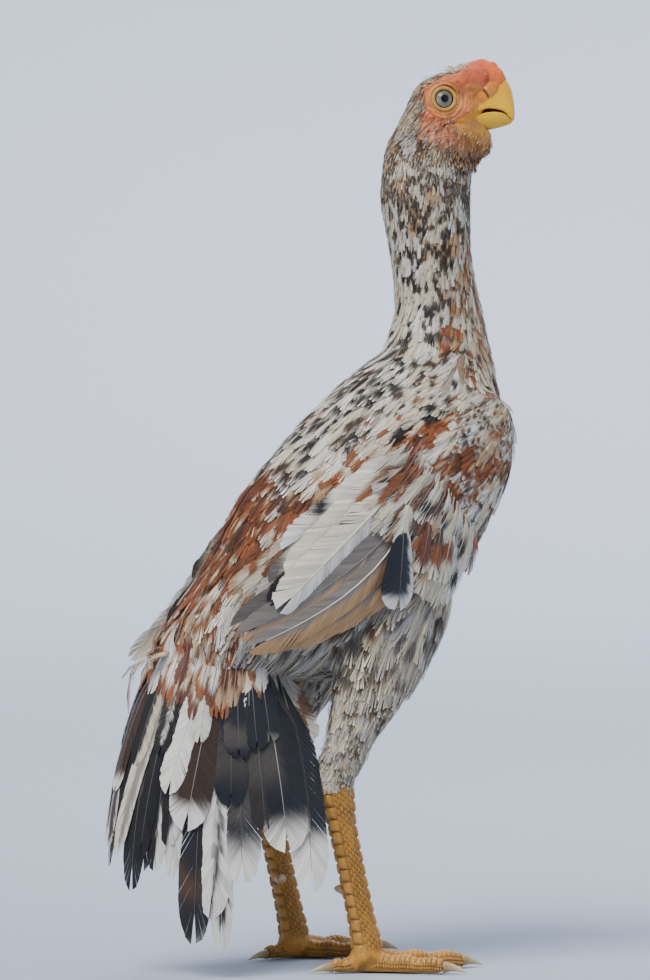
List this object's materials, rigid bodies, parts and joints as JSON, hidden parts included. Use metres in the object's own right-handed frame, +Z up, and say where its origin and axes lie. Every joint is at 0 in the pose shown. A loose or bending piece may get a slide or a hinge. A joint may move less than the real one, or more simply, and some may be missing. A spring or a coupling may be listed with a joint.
{
  "type": "aseel rooster model",
  "caption": "Still life-size model of a young aseel rooster standing upright, with folded wings, pea comb, drooping tail fan and scaled legs.",
  "frame": {"origin": "on the floor, under the middle of the whole bird", "axes": "+Z up from the floor to the comb, +X the way the body faces, +Y the bird's left"},
  "size_m": [0.2365, 0.1544, 0.4914],
  "materials": {
    "feathers": "soft feathers, cream, white and chestnut with black-brown spangles",
    "tail_feathers": "blue-black feathers with white tips and edges",
    "face_skin": "bare orange-red face skin with fine bristles",
    "comb_skin": "low fleshy red-pink pea comb",
    "bill_horn": "smooth yellow horn",
    "eye": "wet pale pearl iris with a black pupil",
    "leg_scales": "ochre-orange horny scutes",
    "claw_horn": "pale horn"
  },
  "bodies": {
    "root": {"head": "face_skin", "comb": "comb_skin", "beak_upper": "bill_horn", "beak_lower": "bill_horn", "eye_R": "eye", "eye_L": "eye", "neck": "feathers", "torso": "feathers", "wing_R": "feathers", "wing_L": "feathers", "tail_R": "tail_feathers", "tail_L": "tail_feathers", "thigh_R": "feathers", "thigh_L": "feathers", "shank_R": "leg_scales", "shank_L": "leg_scales", "foot_R": "leg_scales", "foot_L": "leg_scales", "claw_R_1": "claw_horn", "claw_R_2": "claw_horn", "claw_R_3": "claw_horn", "claw_R_4": "claw_horn", "claw_L_1": "claw_horn", "claw_L_2": "claw_horn", "claw_L_3": "claw_horn", "claw_L_4": "claw_horn"}
  },
  "joints": []
}
